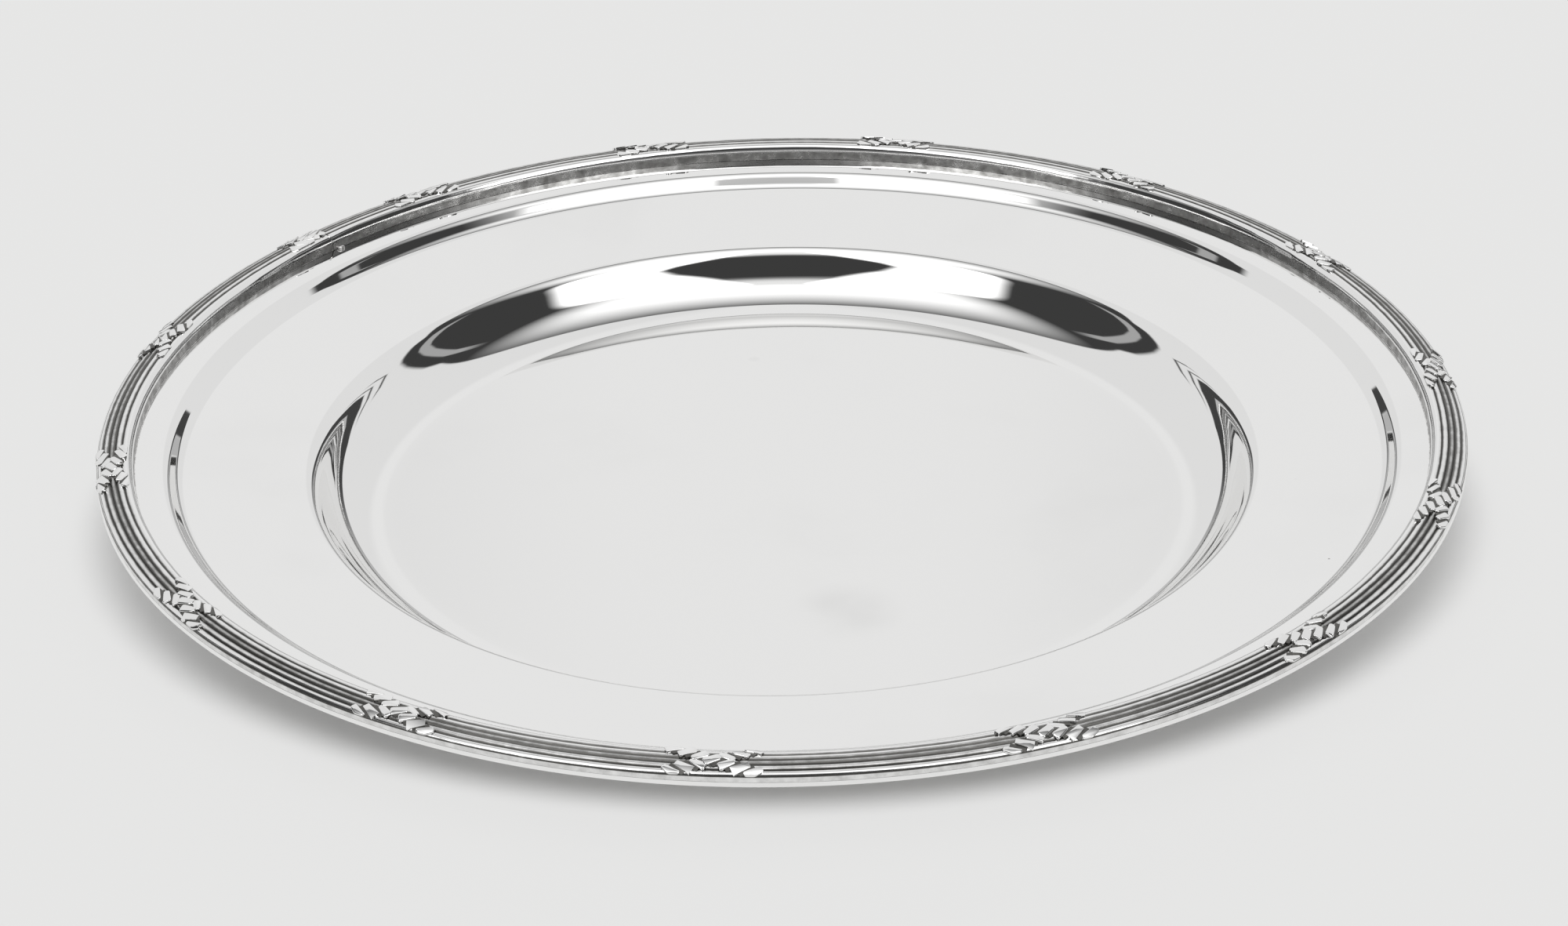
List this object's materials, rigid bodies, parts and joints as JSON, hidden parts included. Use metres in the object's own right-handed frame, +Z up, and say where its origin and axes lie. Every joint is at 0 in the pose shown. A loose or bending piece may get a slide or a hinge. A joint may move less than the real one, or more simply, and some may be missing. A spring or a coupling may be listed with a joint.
{
  "type": "paten plate",
  "caption": "Round polished silver plate with a shallow well, a broad flange and a reeded border bound with crossed ribbon ties, for holding bread or serving food.",
  "frame": {"origin": "centre of the flat underside that the plate rests on", "axes": "+Z up along the plate's axis; the border's butt joint lies at 140 degrees from +X, towards +Y"},
  "size_m": [0.301, 0.3008, 0.0244],
  "materials": {
    "polished_silver": "mirror polish with faint smudges and fine rubbing marks",
    "reeded_silver": "polished reeds with dark tarnish in the grooves",
    "ribbon_silver": "worn polish on the pleats, dark tarnish between them",
    "solder": "dull grey silver solder"
  },
  "bodies": {
    "root": {"dish_body": "polished_silver", "border_strip": "reeded_silver", "border_solder": "solder", "joint_solder": "solder", "solder_drop": "solder", "joint_tie": "ribbon_silver", "ribbon_tie_01": "ribbon_silver", "ribbon_tie_02": "ribbon_silver", "ribbon_tie_03": "ribbon_silver", "ribbon_tie_04": "ribbon_silver", "ribbon_tie_05": "ribbon_silver", "ribbon_tie_06": "ribbon_silver", "ribbon_tie_07": "ribbon_silver", "ribbon_tie_08": "ribbon_silver", "ribbon_tie_09": "ribbon_silver", "ribbon_tie_10": "ribbon_silver", "ribbon_tie_11": "ribbon_silver", "ribbon_tie_12": "ribbon_silver", "ribbon_tie_13": "ribbon_silver", "ribbon_tie_14": "ribbon_silver"}
  },
  "joints": []
}
